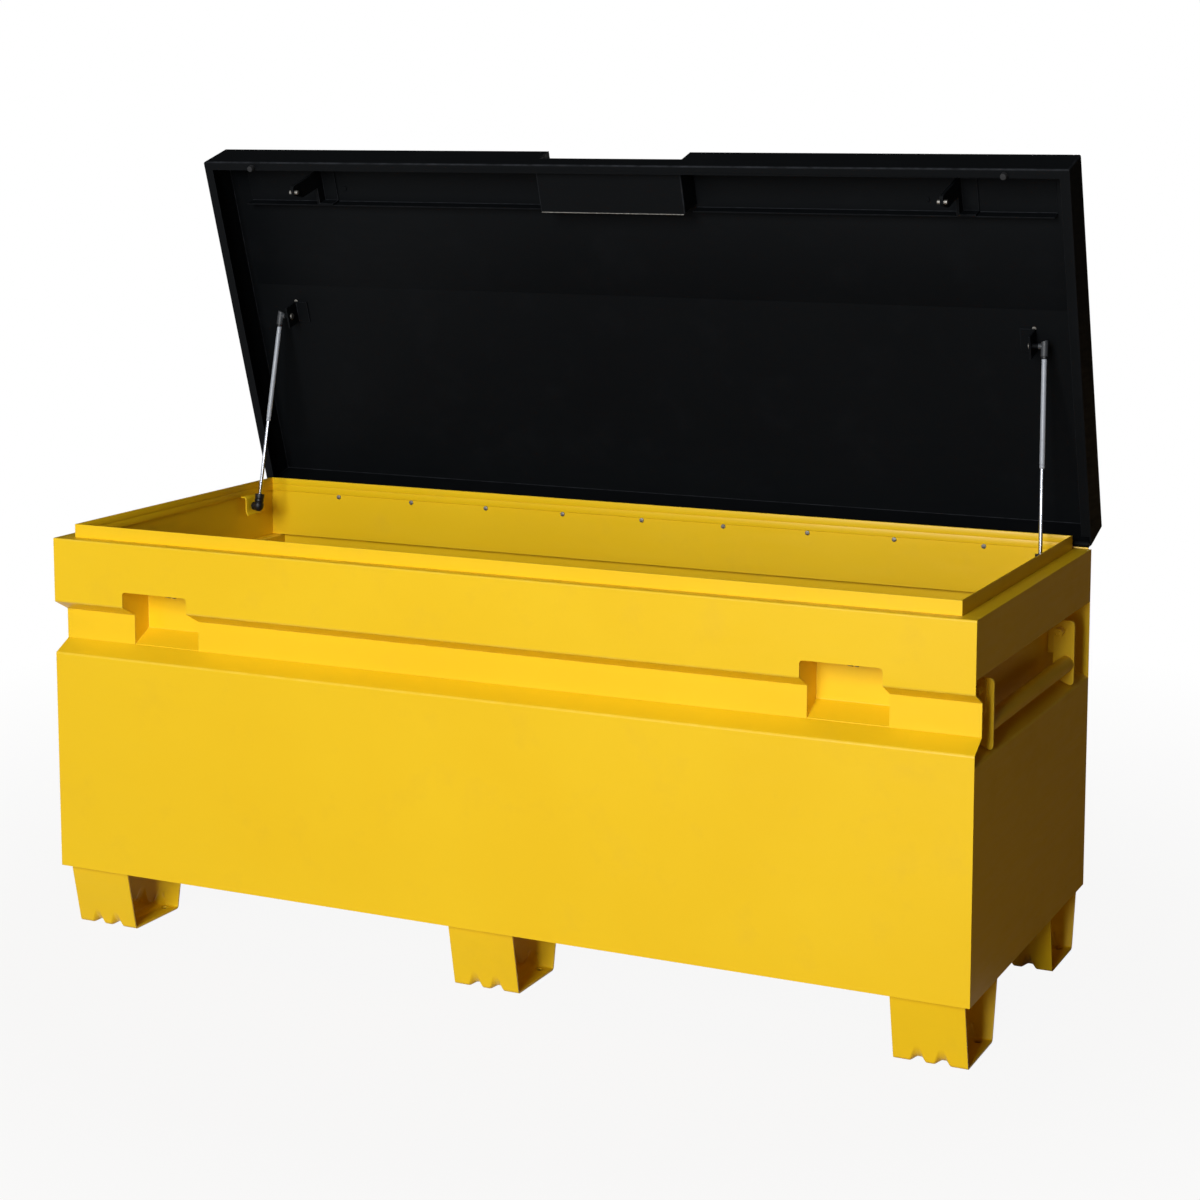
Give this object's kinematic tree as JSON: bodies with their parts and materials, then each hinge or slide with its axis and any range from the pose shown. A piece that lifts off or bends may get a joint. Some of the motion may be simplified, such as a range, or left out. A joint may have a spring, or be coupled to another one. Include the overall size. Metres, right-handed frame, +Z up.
{
  "type": "jobsite storage box",
  "caption": "Steel jobsite storage chest on folded feet, with a front groove, padlock pockets, swing-out end handles and a lid held open by gas struts.",
  "frame": {"origin": "on the floor, at the middle of the width and of the depth that the box takes with its lid open", "axes": "+X to the right seen from the front, +Y to the back, +Z up"},
  "size_m": [1.524, 0.6878, 1.2512],
  "materials": {
    "yellow_powder_coat": "semi-gloss yellow powder coat on folded steel",
    "black_powder_coat": "satin black powder coat on folded steel",
    "zinc_plate": "bright zinc plate",
    "chromed_rod": "hard chromed and ground rod",
    "strut_paint": "gloss grey lacquer on tube",
    "black_nylon": "moulded black nylon",
    "black_rubber": "moulded rubber"
  },
  "bodies": {
    "box": {"front_band": "yellow_powder_coat", "front_panel": "yellow_powder_coat", "back_panel": "yellow_powder_coat", "floor_panel": "yellow_powder_coat", "rim_frame": "yellow_powder_coat", "side_panel_left": "yellow_powder_coat", "side_panel_right": "yellow_powder_coat", "foot_front_left": "yellow_powder_coat", "foot_front_middle": "yellow_powder_coat", "foot_front_right": "yellow_powder_coat", "foot_back_left": "yellow_powder_coat", "foot_back_middle": "yellow_powder_coat", "foot_back_right": "yellow_powder_coat", "lock_pocket_left": "yellow_powder_coat", "lock_pocket_right": "yellow_powder_coat", "padlock_staple_left": "zinc_plate", "padlock_staple_right": "zinc_plate", "latch_pivot_left": "zinc_plate", "latch_pivot_right": "zinc_plate", "handle_lug_left_front": "yellow_powder_coat", "handle_lug_left_back": "yellow_powder_coat", "handle_lug_right_front": "yellow_powder_coat", "handle_lug_right_back": "yellow_powder_coat", "handle_bolt_left_front": "yellow_powder_coat", "handle_bolt_left_back": "yellow_powder_coat", "handle_bolt_right_front": "yellow_powder_coat", "handle_bolt_right_back": "yellow_powder_coat", "hinge_body_leaf": "yellow_powder_coat", "hinge_pin": "zinc_plate", "strut_body_bracket_left": "yellow_powder_coat", "strut_body_bracket_right": "yellow_powder_coat"},
    "lid": {"lid_shell": "black_powder_coat", "hinge_lid_leaf": "black_powder_coat", "lift_recess": "black_powder_coat", "lid_stiffener_left": "black_powder_coat", "lid_stiffener_right": "black_powder_coat", "lock_hook_left": "black_powder_coat", "lock_hook_right": "black_powder_coat", "hook_pin_left": "zinc_plate", "hook_pin_right": "zinc_plate", "lid_bumper_left": "black_rubber", "lid_bumper_right": "black_rubber", "strut_lid_bracket_left": "black_powder_coat", "strut_lid_bracket_right": "black_powder_coat"},
    "left_strut_tube": {"strut_upper_socket_left": "black_nylon", "strut_cylinder_left": "strut_paint"},
    "left_strut_rod": {"strut_rod_left": "chromed_rod", "strut_lower_socket_left": "black_nylon"},
    "right_strut_tube": {"strut_upper_socket_right": "black_nylon", "strut_cylinder_right": "strut_paint"},
    "right_strut_rod": {"strut_rod_right": "chromed_rod", "strut_lower_socket_right": "black_nylon"},
    "left_handle": {"handle_bar_left": "yellow_powder_coat", "handle_arm_left_front": "yellow_powder_coat", "handle_arm_left_back": "yellow_powder_coat"},
    "right_handle": {"handle_bar_right": "yellow_powder_coat", "handle_arm_right_front": "yellow_powder_coat", "handle_arm_right_back": "yellow_powder_coat"},
    "left_latch": {"latch_lever_left": "zinc_plate"},
    "right_latch": {"latch_lever_right": "zinc_plate"}
  },
  "joints": [
    {"name": "lid_hinge", "type": "hinge", "parent": "box", "child": "lid", "pos_m": [0, 0.27113, 0.645], "axis": [1, 0, 0], "range_deg": [0, 72.5]},
    {"name": "left_strut_swing", "type": "hinge", "parent": "lid", "child": "left_strut_tube", "pos_m": [-0.692, 0.22339, 0.95604], "axis": [1, 0, 0], "range_deg": [0, 8]},
    {"name": "left_strut_slide", "type": "slide", "parent": "left_strut_tube", "child": "left_strut_rod", "axis": [0.047, 0.1683, 0.9846], "range_m": [0, 0.122]},
    {"name": "right_strut_swing", "type": "hinge", "parent": "lid", "child": "right_strut_tube", "pos_m": [0.692, 0.22339, 0.95604], "axis": [1, 0, 0], "range_deg": [0, 8]},
    {"name": "right_strut_slide", "type": "slide", "parent": "right_strut_tube", "child": "right_strut_rod", "axis": [-0.047, 0.1683, 0.9846], "range_m": [0, 0.122]},
    {"name": "left_handle_swing", "type": "hinge", "parent": "box", "child": "left_handle", "pos_m": [-0.741, -0.03887, 0.525], "axis": [0, 1, 0], "range_deg": [0, 90]},
    {"name": "right_handle_swing", "type": "hinge", "parent": "box", "child": "right_handle", "pos_m": [0.741, -0.03887, 0.525], "axis": [0, -1, 0], "range_deg": [0, 90]},
    {"name": "left_latch_turn", "type": "hinge", "parent": "box", "child": "left_latch", "pos_m": [-0.57, -0.29387, 0.583], "axis": [1, 0, 0], "range_deg": [0, 20]},
    {"name": "right_latch_turn", "type": "hinge", "parent": "box", "child": "right_latch", "pos_m": [0.57, -0.29387, 0.583], "axis": [1, 0, 0], "range_deg": [0, 20]}
  ],
  "couplings": [
    {"joint": "left_strut_swing", "follows": "lid_hinge", "ratio": 0.10942},
    {"joint": "left_strut_slide", "follows": "lid_hinge", "m_per_rad": 0.096266},
    {"joint": "right_strut_swing", "follows": "lid_hinge", "ratio": 0.10942},
    {"joint": "right_strut_slide", "follows": "lid_hinge", "m_per_rad": 0.096266}
  ]
}
